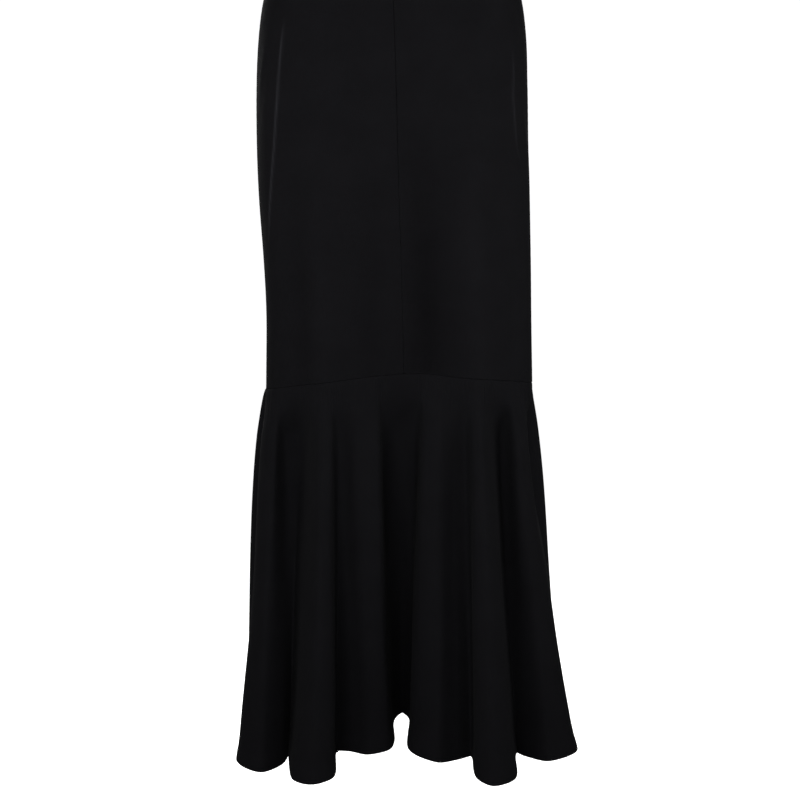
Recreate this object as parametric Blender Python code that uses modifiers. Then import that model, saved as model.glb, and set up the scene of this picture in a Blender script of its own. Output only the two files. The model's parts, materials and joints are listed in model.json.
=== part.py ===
"""Mermaid fishtail skirt: a fitted crepe body to the knee, and a flared flounce below it.

Metres, +Z up. The origin is the centre of the waist, where the wearer holds the skirt, and the
front faces -Y. A turn is an angle round the skirt: 0 at the centre front, 90 at the wearer's
left side, 180 at the centre back.
"""
import math

import bpy
from mathutils import Matrix

# Cloth
WALL = 0.002             # crepe, doubled by its seam allowances
SEAM_GAP = 0.0003        # between the edges of sewn pieces
SEAM_LIP = 0.004         # narrow first and last stretch of every piece

# Heights
BAND_DEPTH = 0.030       # waistband
SEAM_FRONT = -0.513      # flounce seam at the peak of its arch, centre front
SEAM_SIDE = -0.546       # flounce seam at the side seams
SEAM_BACK = -0.552       # flounce seam at the centre back
PEAK_ROUND = 7.0         # turn over which the peak of the arch is rounded

# Turns of the upright seams: right side, centre front, left side, centre back, right side again.
# The centre front seam hangs a little to the wearer's left of the middle.
SEAM_TURNS = (-90.0, 1.6, 90.0, 180.0, 270.0)

# How finely the cloth is faceted
PANEL_COLUMNS = 13
PANEL_ROWS = 14
BAND_COLUMNS = 44
FLOUNCE_COLUMNS = 66
FLOUNCE_ROWS = (0.0, 0.015, 0.09, 0.22, 0.40, 0.60, 0.81, 1.0)

# Level sections of the body, from the waist down: how far it reaches from the origin to each
# side, and how square its corners are (2 is an ellipse)
SECTIONS = (
    # height, right, left, front, back, squareness
    (0.000, 0.127, 0.129, 0.087, 0.090, 2.00),
    (-0.030, 0.137, 0.142, 0.093, 0.097, 2.00),
    (-0.070, 0.150, 0.157, 0.101, 0.110, 2.05),
    (-0.120, 0.158, 0.1635, 0.107, 0.124, 2.10),
    (-0.180, 0.163, 0.1645, 0.110, 0.130, 2.15),
    (-0.240, 0.165, 0.1645, 0.109, 0.127, 2.15),
    (-0.300, 0.1645, 0.1655, 0.106, 0.118, 2.20),
    (-0.380, 0.162, 0.166, 0.102, 0.107, 2.25),
    (-0.460, 0.161, 0.166, 0.098, 0.100, 2.30),
    (-0.560, 0.1645, 0.167, 0.096, 0.098, 2.30),
)

# Soft upright drapes of the body: a height below 0 is a hollow
DRAPES = (
    # turn, width, top, bottom, height
    (-62.0, 9.0, -0.06, -0.42, 0.0020),
    (-43.0, 7.0, -0.28, -0.62, -0.0025),
    (-30.0, 8.0, -0.22, -0.62, 0.0036),
    (-9.0, 8.0, -0.26, -0.62, -0.0026),
    (9.0, 9.0, -0.20, -0.62, -0.0058),
    (30.0, 9.0, -0.20, -0.62, 0.0050),
    (62.0, 8.0, -0.08, -0.30, 0.0020),
    (150.0, 14.0, -0.26, -0.62, 0.0030),
    (180.0, 16.0, -0.24, -0.62, -0.0040),
    (208.0, 14.0, -0.28, -0.62, 0.0030),
)

# How the flounce's folds stand forward and back on the way down
DEPTH_GROWTH = 1.06      # grows as the sideways spread below
FOLD_BULGE = 0.28        # and how much sooner than evenly
BULGE_START = 0.14       # share of the flounce's drop over which that sets in

# Folds of the flounce, from the right side seam round the front: the turn where the fold leaves
# the flounce seam, where it is at the hem, and how its sideways spread grows (1 grows evenly on
# the way down, less grows sooner)
FRONT_FOLDS = (
    # turn, hem x, hem y, hem height, growth
    (-90.0, -0.190, -0.018, -1.002, 1.06),
    (-79.0, -0.2125, -0.078, -1.004, 1.06),
    (-70.0, -0.182, -0.121, -1.004, 1.06),
    (-58.0, -0.156, -0.099, -1.003, 1.06),
    (-44.0, -0.148, -0.072, -0.997, 1.06),
    (-34.5, -0.139, -0.164, -0.996, 1.80),
    (-30.0, -0.115, -0.191, -0.993, 1.35),
    (-26.5, -0.090, -0.174, -0.991, 1.06),
    (-22.5, -0.089, -0.110, -0.984, 1.06),
    (-18.5, -0.070, -0.122, -0.979, 1.15),
    (-14.0, -0.047, -0.142, -0.976, 1.20),
    (-8.0, -0.021, -0.134, -0.972, 1.15),
    (-4.5, -0.016, -0.052, -0.966, 1.06),
    (0.8, -0.005, -0.034, -0.963, 1.06),
    (5.5, 0.006, -0.052, -0.966, 1.06),
    (10.0, 0.004, -0.136, -0.973, 1.06),
    (16.5, 0.036, -0.167, -0.978, 1.06),
    (20.5, 0.060, -0.151, -0.982, 1.06),
    (24.5, 0.080, -0.136, -0.984, 1.06),
    (28.5, 0.084, -0.193, -0.989, 1.06),
    (32.5, 0.102, -0.214, -0.991, 1.20),
    (35.5, 0.128, -0.185, -0.994, 1.30),
    (43.0, 0.135, -0.094, -0.996, 1.20),
    (50.0, 0.148, -0.101, -0.999, 1.08),
    (59.0, 0.176, -0.112, -1.002, 1.15),
    (73.0, 0.212, -0.076, -1.003, 1.60),
    (90.0, 0.188, -0.020, -1.002, 1.06),
)
BACK_FOLDS = (
    # turn, hem x, hem y, hem height, growth
    (90.0, 0.188, -0.020, -1.002, 1.06),
    (99.0, 0.199, 0.032, -1.002, 0.72),
    (110.0, 0.184, 0.090, -1.003, 0.85),
    (121.0, 0.142, 0.086, -1.005, 1.06),
    (129.0, 0.146, 0.150, -1.005, 1.06),
    (137.0, 0.120, 0.184, -1.004, 1.06),
    (146.0, 0.088, 0.166, -1.006, 1.06),
    (153.0, 0.070, 0.106, -1.009, 1.06),
    (160.0, 0.058, 0.156, -1.007, 1.06),
    (168.0, 0.034, 0.190, -1.006, 1.06),
    (175.0, 0.008, 0.174, -1.007, 1.06),
    (182.0, -0.010, 0.112, -1.010, 1.06),
    (189.0, -0.024, 0.166, -1.008, 1.06),
    (198.0, -0.052, 0.202, -1.006, 1.06),
    (206.0, -0.082, 0.178, -1.006, 1.06),
    (213.0, -0.088, 0.110, -1.008, 1.06),
    (221.0, -0.110, 0.154, -1.006, 1.06),
    (230.0, -0.138, 0.170, -1.004, 1.06),
    (240.0, -0.158, 0.136, -1.004, 1.06),
    (248.0, -0.152, 0.084, -1.004, 1.06),
    (256.0, -0.188, 0.086, -1.003, 0.75),
    (264.0, -0.207, 0.040, -1.002, 0.56),
    (270.0, -0.190, -0.018, -1.002, 1.06),
)

# Where the flounce sinks in or swells out between its seam and its hem: how far the cloth moves,
# and the share of the drop at which it moves most
TUCKS = (
    # turn, width, x, y, where deepest
    (-76.0, 7.5, -0.0035, 0.000, 0.16),
    (-48.5, 12.5, 0.0000, 0.028, 0.25),
    (-21.5, 4.0, 0.0000, 0.005, 0.25),
    (1.5, 7.0, 0.0000, 0.012, 0.25),
    (21.5, 5.5, 0.0000, 0.010, 0.25),
    (42.5, 8.0, 0.0000, 0.024, 0.25),
    (82.5, 11.0, -0.0180, 0.000, 0.13),
    (100.0, 9.0, 0.0020, 0.000, 0.35),
    (118.0, 6.2, 0.0000, -0.007, 0.25),
    (153.0, 5.6, 0.0000, -0.008, 0.25),
    (182.0, 6.2, 0.0000, -0.008, 0.25),
    (213.0, 5.6, 0.0000, -0.008, 0.25),
    (249.0, 6.2, 0.0000, -0.007, 0.25),
    (259.0, 9.0, -0.0035, 0.000, 0.40),
)

# Concealed zip in the centre back seam
ZIP_LENGTH = 0.215
ZIP_TOP = 0.003          # from the top edge to the end of the tape
TAPE_WIDTH = 0.022
TAPE_WALL = 0.001
SLIDER_DROP = 0.009      # from the top edge to the pull's pin
SLIDER_SIZE = (0.0066, 0.0022, 0.0086)
LUG_SIZE = (0.0009, 0.0042, 0.0026)
PIN_RADIUS = 0.00035
PIN_STAND = 0.0024       # pin's axis above the slider's face
EYE_RADIUS = 0.0013      # outside of the pull's eye
EYE_BORE = 0.0007
PULL_WIDTH = 0.0038
PULL_LENGTH = 0.017
PULL_WALL = 0.0011
ROUND_SIDES = 24


def smoothstep(value):
    value = min(max(value, 0.0), 1.0)
    return value * value * (3.0 - 2.0 * value)


def row_at(table, place, where):
    """Values of a table's columns on a smooth curve through its rows, at a place along them.

    where holds the place of each row, and rises.
    """
    last = len(table) - 1
    index = 0
    while index < last - 1 and place > where[index + 1]:
        index += 1
    start, end = where[index], where[index + 1]
    span = end - start
    part = min(max((place - start) / span, 0.0), 1.0)
    before, after = max(index - 1, 0), min(index + 2, last)
    values = []
    for column in range(len(table[0])):
        low, high = table[index][column], table[index + 1][column]
        slope_low = (high - table[before][column]) / (end - where[before])
        slope_high = (table[after][column] - low) / (where[after] - start)
        low_weight = (1.0 + 2.0 * part) * (1.0 - part) ** 2
        high_weight = part * part * (3.0 - 2.0 * part)
        bend = part * (1.0 - part) ** 2 * slope_low - part * part * (1.0 - part) * slope_high
        values.append(low * low_weight + high * high_weight + span * bend)
    return values


SECTION_DEPTHS = [-row[0] for row in SECTIONS]


def body_point(height, turn, inward=0.0):
    """A point of the fitted body's outer face, or the given distance inside it."""
    _, right, left, front, back, squareness = row_at(SECTIONS, -height, SECTION_DEPTHS)
    across = math.sin(math.radians(turn))
    along = math.cos(math.radians(turn))
    power = 2.0 / squareness
    side = left if across > 0.0 else right
    end = front if along > 0.0 else back
    out = -inward
    for drape_turn, width, top, bottom, rise in DRAPES:
        apart = (turn - drape_turn + 180.0) % 360.0 - 180.0
        fade = smoothstep((top - height) / 0.10) * smoothstep((height - bottom) / 0.04)
        out += rise * math.exp(-(apart / width) ** 2) * fade
    x = math.copysign(abs(across) ** power, across) * side
    y = -math.copysign(abs(along) ** power, along) * end
    return (x + across * out, y - along * out, height)


def seam_height(turn):
    """Height of the flounce seam, which peaks at the centre front."""
    if turn > 90.0 or turn < -90.0:
        from_back = abs(turn % 360.0 - 180.0)
        return SEAM_BACK + (SEAM_SIDE - SEAM_BACK) * smoothstep(from_back / 90.0)
    away = abs(turn - SEAM_TURNS[1])
    reach = abs(math.copysign(90.0, turn) - SEAM_TURNS[1])
    drop = math.hypot(away, PEAK_ROUND) - PEAK_ROUND
    return SEAM_FRONT + (SEAM_SIDE - SEAM_FRONT) * drop / (math.hypot(reach, PEAK_ROUND) - PEAK_ROUND)


def tuck(turn, part):
    """How far the cloth moves in x and y at a part of the flounce's drop."""
    across, along = 0.0, 0.0
    for middle, width, x, y, deepest in TUCKS:
        apart = (turn - middle + 180.0) % 360.0 - 180.0
        share = part / deepest * ((1.0 - part) / (1.0 - deepest)) ** (1.0 / deepest - 1.0)
        share *= math.exp(-((apart / width) ** 4)) * smoothstep(part / BULGE_START)
        across += x * share
        along += y * share
    return across, along


def spaced(start, end, steps, lip):
    """Even steps from start to end, with a narrow step of one lip beside each end."""
    inner = [start + lip + (end - start - 2.0 * lip) * step / steps for step in range(steps + 1)]
    return [start] + inner + [end]


def toward(point, other, distance):
    """The point moved towards another by a distance."""
    length = math.dist(point, other)
    return tuple(a + (b - a) * distance / length for a, b in zip(point, other))


def trim(grid):
    """Draws every edge of a piece back by half a seam gap."""
    for row in grid:
        row[0] = toward(row[0], row[1], SEAM_GAP / 2.0)
        row[-1] = toward(row[-1], row[-2], SEAM_GAP / 2.0)
    grid[0] = [toward(a, b, SEAM_GAP / 2.0) for a, b in zip(grid[0], grid[1])]
    grid[-1] = [toward(a, b, SEAM_GAP / 2.0) for a, b in zip(grid[-1], grid[-2])]


def finish(node, material):
    node.data.materials.append(material)
    PARTS.objects.link(node)
    return node


def cloth(name, grid, material, wall=WALL):
    """A wall of cloth inside a grid of points, whose rows run down and columns turn leftward."""
    columns = len(grid[0])
    points = [point for row in grid for point in row]
    faces = []
    for row in range(len(grid) - 1):
        for column in range(columns - 1):
            corner = row * columns + column
            faces.append((corner, corner + columns, corner + columns + 1, corner + 1))
    mesh = bpy.data.meshes.new(name)
    mesh.from_pydata(points, [], faces)
    mesh.shade_smooth()
    node = finish(bpy.data.objects.new(name, mesh), material)
    solidify = node.modifiers.new("wall", "SOLIDIFY")
    solidify.thickness = wall
    solidify.offset = -1.0
    return node


def panel_turns(place):
    """Turns of the columns of one body panel, counted round from the right side seam."""
    lip = math.degrees(SEAM_LIP / SECTIONS[4][1])
    return spaced(SEAM_TURNS[place], SEAM_TURNS[place + 1], PANEL_COLUMNS, lip)


def panel(name, place, material):
    """A quarter of the body between two upright seams, from the waistband to the flounce seam."""
    turns = panel_turns(place)
    grid = []
    for part in spaced(0.0, 1.0, PANEL_ROWS, SEAM_LIP / -SEAM_SIDE):
        heights = [-BAND_DEPTH + (seam_height(turn) + BAND_DEPTH) * part for turn in turns]
        grid.append([body_point(height, turn) for height, turn in zip(heights, turns)])
    trim(grid)
    return cloth(name, grid, material)


def seam_point(turn):
    """A point of the flounce seam, on the straight facets of the panels' lower edges."""
    turns = [edge for place in range(len(SEAM_TURNS) - 1) for edge in panel_turns(place)[:-1]]
    turns.append(SEAM_TURNS[-1])
    index = max(position for position, low in enumerate(turns[:-1]) if low <= turn)
    low, high = turns[index], turns[index + 1]
    share = (turn - low) / (high - low)
    ends = zip(body_point(seam_height(low), low), body_point(seam_height(high), high))
    return tuple(a + (b - a) * share for a, b in ends)


def waistband(material):
    """A straight band round the waist, whose ends meet above the zip."""
    lip = math.degrees(SEAM_LIP / SECTIONS[0][1])
    turns = spaced(-180.0, 180.0, BAND_COLUMNS, lip)
    heights = (0.0, -BAND_DEPTH / 2.0, -BAND_DEPTH)
    grid = [[body_point(height, turn) for turn in turns] for height in heights]
    trim(grid)
    return cloth("waistband", grid, material)


def flounce(name, folds, material):
    """A flared flounce, ruled from the flounce seam down to its folded hem."""
    where = [0.0]
    for before, after in zip(folds, folds[1:]):
        where.append(where[-1] + math.dist(before[1:4], after[1:4]))
    columns = []
    for place in spaced(0.0, where[-1], FLOUNCE_COLUMNS, SEAM_LIP):
        turn, hem_x, hem_y, hem_height, growth = row_at(folds, place, where)
        top = seam_point(turn)
        column = []
        for part in FLOUNCE_ROWS:
            spread = part ** growth
            bulge = FOLD_BULGE * part * (1.0 - part) * smoothstep(part / BULGE_START)
            tuck_x, tuck_y = tuck(turn, part)
            column.append((
                top[0] + (hem_x - top[0]) * spread + tuck_x,
                top[1] + (hem_y - top[1]) * (part ** DEPTH_GROWTH + bulge) + tuck_y,
                top[2] + (hem_height - top[2]) * part,
            ))
        columns.append(column)
    grid = [list(row) for row in zip(*columns)]
    trim(grid)
    return cloth(name, grid, material)


def zip_tape(material):
    """The zip's tape, inside the band and along the flat of the panels' edges."""
    lip = panel_turns(3)[1] - 180.0
    step = panel_turns(3)[2] - 180.0 - lip
    share = (TAPE_WIDTH / 2.0 - SEAM_LIP) / (math.radians(step) * SECTIONS[4][1])
    inward = WALL + 3.0 * SEAM_GAP
    parts = spaced(0.0, 1.0, PANEL_ROWS, SEAM_LIP / -SEAM_SIDE)
    heights = [-BAND_DEPTH + (SEAM_BACK + BAND_DEPTH) * part for part in parts]
    heights = [-ZIP_TOP, -BAND_DEPTH / 2.0] + [height for height in heights if height > -ZIP_LENGTH]
    grid = []
    for height in heights:
        near_left = body_point(height, 180.0 - lip, inward)
        far_left = body_point(height, 180.0 - lip - step, inward)
        near_right = body_point(height, 180.0 + lip, inward)
        far_right = body_point(height, 180.0 + lip + step, inward)
        middle = tuple((a + b) / 2.0 for a, b in zip(near_left, near_right))
        end_left = tuple(a + (b - a) * share for a, b in zip(near_left, far_left))
        end_right = tuple(a + (b - a) * share for a, b in zip(near_right, far_right))
        grid.append([end_left, near_left, middle, near_right, end_right])
    return cloth("zip_tape", grid, material, TAPE_WALL)


def box(name, size, centre):
    bpy.ops.mesh.primitive_cube_add(size=1.0)
    shape = bpy.context.object
    shape.name = name
    for vertex in shape.data.vertices:
        vertex.co = [c + s * v for c, s, v in zip(centre, size, vertex.co)]
    return shape


def hide_guide(guide):
    """Keeps a joined-on shape out of the model itself."""
    for owner in guide.users_collection:
        owner.objects.unlink(guide)
    GUIDES.objects.link(guide)
    guide.hide_render = True
    guide.display_type = "WIRE"


def hang_on_pin(shape, slope):
    """Sets a zip piece drawn round its pin on the waistband's centre back."""
    foot = body_point(-SLIDER_DROP, 180.0)
    stand = SEAM_GAP + SLIDER_SIZE[1] + PIN_STAND
    shape.location = (
        foot[0],
        foot[1] + stand * math.cos(slope),
        foot[2] + stand * math.sin(slope),
    )
    shape.rotation_euler = (slope, 0.0, 0.0)


def band_slope():
    """How far the centre back of the waistband leans out on the way down."""
    top = body_point(0.0, 180.0)
    foot = body_point(-BAND_DEPTH, 180.0)
    return math.atan2(foot[1] - top[1], top[2] - foot[2])


def zip_slider(material, slope):
    """The slider's plate, two lugs and the pin that the pull hangs on."""
    plate_y = -PIN_STAND - SLIDER_SIZE[1] / 2.0
    slider = box("zip_slider", SLIDER_SIZE, (0.0, plate_y, 0.0))
    joined = []
    for side in (-1.0, 1.0):
        lug_x = side * (SLIDER_SIZE[0] - LUG_SIZE[0]) / 2.0
        lug_y = -PIN_STAND + LUG_SIZE[1] / 2.0 - 0.0004
        joined.append(box("lug", LUG_SIZE, (lug_x, lug_y, 0.0)))
    bpy.ops.mesh.primitive_cylinder_add(
        vertices=12, radius=PIN_RADIUS, depth=SLIDER_SIZE[0] - LUG_SIZE[0],
        rotation=(0.0, math.pi / 2.0, 0.0))
    joined.append(bpy.context.object)
    for guide in joined:
        union = slider.modifiers.new("join", "BOOLEAN")
        union.operation = "UNION"
        union.object = guide
        hide_guide(guide)
        guide.parent = slider
    for owner in slider.users_collection:
        owner.objects.unlink(slider)
    hang_on_pin(slider, slope)
    return finish(slider, material)


def zip_pull(material, slope):
    """The pull tab: a side outline with an eye, as thick as the tab is wide."""
    outline = bpy.data.curves.new("zip_pull", "CURVE")
    outline.dimensions = "2D"
    outline.fill_mode = "BOTH"
    outline.extrude = PULL_WIDTH / 2.0
    half = PULL_WALL / 2.0
    open_angle = math.asin(half / EYE_RADIUS)
    points = [(half, -PULL_LENGTH + half), (0.0, -PULL_LENGTH), (-half, -PULL_LENGTH + half)]
    for step in range(ROUND_SIDES):
        part = step / (ROUND_SIDES - 1)
        angle = -math.pi / 2.0 - open_angle - (2.0 * math.pi - 2.0 * open_angle) * part
        points.append((EYE_RADIUS * math.cos(angle), EYE_RADIUS * math.sin(angle)))
    bore = []
    for step in range(ROUND_SIDES):
        angle = 2.0 * math.pi * step / ROUND_SIDES
        bore.append((EYE_BORE * math.cos(angle), EYE_BORE * math.sin(angle)))
    for loop in (points, bore):
        spline = outline.splines.new("POLY")
        spline.points.add(len(loop) - 1)
        spline.use_cyclic_u = True
        for target, (x, y) in zip(spline.points, loop):
            target.co = (x, y, 0.0, 1.0)
    pull = bpy.data.objects.new("zip_pull", outline)
    hang_on_pin(pull, slope)
    pull.rotation_mode = "QUATERNION"
    stand_up = Matrix(((0.0, 0.0, 1.0), (1.0, 0.0, 0.0), (0.0, 1.0, 0.0)))
    lean = Matrix.Rotation(slope, 3, "X")
    pull.rotation_quaternion = (lean @ stand_up).to_quaternion()
    return finish(pull, material)


def fabric(name, colour, roughness):
    material = bpy.data.materials.new(name)
    material.use_nodes = True
    shader = material.node_tree.nodes["Principled BSDF"]
    shader.inputs["Base Color"].default_value = (*colour, 1.0)
    shader.inputs["Roughness"].default_value = roughness
    shader.inputs["Metallic"].default_value = 0.0
    return material


for old in list(bpy.data.objects):
    bpy.data.objects.remove(old, do_unlink=True)
PARTS = bpy.data.collections.new("mermaid_fishtail_skirt")
GUIDES = bpy.data.collections.new("joined_shapes")
for group in (PARTS, GUIDES):
    bpy.context.scene.collection.children.link(group)

crepe = fabric("black_crepe", (0.0095, 0.0095, 0.0108), 0.85)
braid = fabric("black_zip_tape", (0.012, 0.012, 0.013), 0.70)
enamel = fabric("black_enamelled_metal", (0.020, 0.020, 0.022), 0.35)

for place, name in enumerate(("front_right", "front_left", "back_left", "back_right")):
    panel(name, place, crepe)
flounce("flounce_front", FRONT_FOLDS, crepe)
flounce("flounce_back", BACK_FOLDS, crepe)
waistband(crepe)
zip_tape(braid)
slope = band_slope()
zip_slider(enamel, slope)
zip_pull(enamel, slope)
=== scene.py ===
# Mermaid fishtail skirt: the looks of its crepe, stitching and zip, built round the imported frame.
import json
import math

import bmesh
import bpy
import mathutils
import numpy as np
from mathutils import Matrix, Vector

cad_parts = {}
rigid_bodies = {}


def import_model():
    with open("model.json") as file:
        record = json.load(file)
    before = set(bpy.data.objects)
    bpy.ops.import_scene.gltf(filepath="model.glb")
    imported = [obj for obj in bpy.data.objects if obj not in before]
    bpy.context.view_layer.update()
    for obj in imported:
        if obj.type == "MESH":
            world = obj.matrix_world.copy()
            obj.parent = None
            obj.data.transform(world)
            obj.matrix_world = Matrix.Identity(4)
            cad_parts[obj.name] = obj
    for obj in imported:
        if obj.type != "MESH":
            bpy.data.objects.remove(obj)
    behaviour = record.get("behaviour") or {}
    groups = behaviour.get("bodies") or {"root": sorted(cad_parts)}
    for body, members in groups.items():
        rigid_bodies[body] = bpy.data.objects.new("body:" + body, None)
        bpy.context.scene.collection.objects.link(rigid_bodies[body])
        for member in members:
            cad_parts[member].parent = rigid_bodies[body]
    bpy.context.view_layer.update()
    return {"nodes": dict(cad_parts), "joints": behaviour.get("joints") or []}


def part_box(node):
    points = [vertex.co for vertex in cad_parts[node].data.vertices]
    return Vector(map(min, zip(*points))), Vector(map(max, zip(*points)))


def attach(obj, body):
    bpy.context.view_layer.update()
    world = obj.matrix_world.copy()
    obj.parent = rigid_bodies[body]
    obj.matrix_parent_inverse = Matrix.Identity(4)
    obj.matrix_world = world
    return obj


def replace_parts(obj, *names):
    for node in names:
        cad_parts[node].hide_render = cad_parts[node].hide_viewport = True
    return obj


for old in list(bpy.data.objects):
    bpy.data.objects.remove(old, do_unlink=True)
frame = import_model()
print("frame loaded")

# turns are degrees round the skirt: 0 centre front, 90 the wearer's left side, 180 centre back
crepeCloth = {
    "wall": 0.0009,          # one layer
    "layerGap": 0.0002,      # between a folded edge and the cloth it lies on
    "slit": 0.00005,         # half the slit between two sewn edges
    "allowance": 0.012,      # turned inside at each seam
    "hemTurn": 0.020,
    "stitchDepth": 0.0016,   # of a seam's thread, under the cloth's face
    "panelStep": 0.0025,     # spacing of the mesh
    "flounceStep": 0.0038,
}

body = {
    "bandDepth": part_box("waistband")[1].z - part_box("waistband")[0].z,
    "seamTurns": (-90.0, 1.6, 90.0, 180.0, 270.0),  # right side, front, left side, back, right side
    "seamFront": -0.513,     # height of the flounce seam at the peak of its arch
    "seamSide": -0.546,
    "seamBack": -0.552,
    "peakRound": 7.0,
    "sections": np.array([
        # height, right, left, front, back, squareness
        (0.000, 0.127, 0.129, 0.087, 0.090, 2.00),
        (-0.030, 0.137, 0.142, 0.093, 0.097, 2.00),
        (-0.070, 0.150, 0.157, 0.101, 0.110, 2.05),
        (-0.120, 0.158, 0.1635, 0.107, 0.124, 2.10),
        (-0.180, 0.163, 0.1645, 0.110, 0.130, 2.15),
        (-0.240, 0.165, 0.1645, 0.109, 0.127, 2.15),
        (-0.300, 0.1645, 0.1655, 0.106, 0.118, 2.20),
        (-0.380, 0.162, 0.166, 0.102, 0.107, 2.25),
        (-0.460, 0.161, 0.166, 0.098, 0.100, 2.30),
        (-0.560, 0.1645, 0.167, 0.096, 0.098, 2.30),
    ]),
    "drapes": [
        # turn, width, top, bottom, height: soft upright ridges, or hollows below 0
        (-62.0, 9.0, -0.06, -0.42, 0.0020),
        (-43.0, 7.0, -0.28, -0.62, -0.0025),
        (-30.0, 8.0, -0.22, -0.62, 0.0036),
        (-9.0, 8.0, -0.26, -0.62, -0.0026),
        (9.0, 9.0, -0.20, -0.62, -0.0058),
        (30.0, 9.0, -0.20, -0.62, 0.0050),
        (62.0, 8.0, -0.08, -0.30, 0.0020),
        (150.0, 14.0, -0.26, -0.62, 0.0030),
        (180.0, 16.0, -0.24, -0.62, -0.0040),
        (208.0, 14.0, -0.28, -0.62, 0.0030),
    ],
}

wornCreases = [
    # turn, height, tilt, length, width, rise: drag lines, with a shallower one beside each
    (-70.0, -0.150, 24.0, 0.090, 0.010, 0.0007),
    (-48.0, -0.105, -18.0, 0.070, 0.009, 0.0005),
    (-21.0, -0.470, 8.0, 0.120, 0.012, 0.0008),
    (9.0, -0.440, 0.0, 0.260, 0.024, -0.0035),
    (22.0, -0.330, -7.0, 0.150, 0.013, 0.0007),
    (52.0, -0.440, 10.0, 0.140, 0.011, 0.0008),
    (74.0, -0.230, -20.0, 0.090, 0.010, 0.0006),
    (118.0, -0.235, 26.0, 0.110, 0.012, 0.0010),
    (146.0, -0.275, 34.0, 0.120, 0.012, 0.0012),
    (161.0, -0.420, -9.0, 0.130, 0.012, 0.0009),
    (203.0, -0.290, -30.0, 0.120, 0.013, 0.0012),
    (229.0, -0.240, -25.0, 0.100, 0.011, 0.0009),
    (247.0, -0.440, 9.0, 0.120, 0.012, 0.0008),
]

pressedLines = [
    # heights down the line, its turns there, width, rise, painted highlight: where the hip was folded flat in
    # store, a raised line with a highlight painted into its colour
    ((-0.085, -0.137, -0.183, -0.240, -0.300, -0.380),
     (-52.0, -52.8, -53.5, -56.3, -60.9, -68.0), 0.0036, 0.0012, 1.0),
    ((-0.125, -0.157, -0.189, -0.247, -0.285),
     (60.0, 59.5, 58.6, 61.5, 67.0), 0.0036, 0.0008, 0.5),
]

paintedDrapeShades = [
    # turn, height, width, length, shade: painted shade where below 0 and painted light where above, laid
    # along the drapes to make them look darker or lighter
    (-42.0, -0.440, 0.016, 0.260, -0.07),
    (-29.5, -0.440, 0.014, 0.280, 0.04),
    (-9.0, -0.450, 0.018, 0.240, -0.06),
    (10.0, -0.450, 0.020, 0.280, -0.16),
    (31.0, -0.400, 0.018, 0.320, 0.07),
]

flounceDrape = {
    "foldBulge": 0.28,       # how much sooner folds stand forward and back than they spread sideways
    "bulgeStart": 0.14,
    "depthGrowth": 1.06,
    "tucks": [
        # turn, width, x, y, where deepest: where the cloth sinks in or swells out
        (-76.0, 7.5, -0.0035, 0.000, 0.16),
        (-48.5, 12.5, 0.0000, 0.028, 0.25),
        (-21.5, 4.0, 0.0000, 0.005, 0.25),
        (1.5, 7.0, 0.0000, 0.012, 0.25),
        (21.5, 5.5, 0.0000, 0.010, 0.25),
        (42.5, 8.0, 0.0000, 0.024, 0.25),
        (82.5, 11.0, -0.0180, 0.000, 0.13),
        (100.0, 9.0, 0.0020, 0.000, 0.35),
        (118.0, 6.2, 0.0000, -0.007, 0.25),
        (153.0, 5.6, 0.0000, -0.008, 0.25),
        (182.0, 6.2, 0.0000, -0.008, 0.25),
        (213.0, 5.6, 0.0000, -0.008, 0.25),
        (249.0, 6.2, 0.0000, -0.007, 0.25),
        (259.0, 9.0, -0.0035, 0.000, 0.40),
    ],
    "fall": 0.470,
    "sway": 0.0011,          # how far folds wander on the way down
    "hemSwing": 0.0022,      # how far the bias hem swings out
    "hemDent": 0.00022,      # where the turned-up hem is caught to the cloth
    "pucker": 0.030,
    "creaseEnd": 0.12,       # share of the fall by which the panels' creases have run out
    "sideHold": 0.020,       # width beside a side seam in which both flounces come to one line
}
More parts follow.
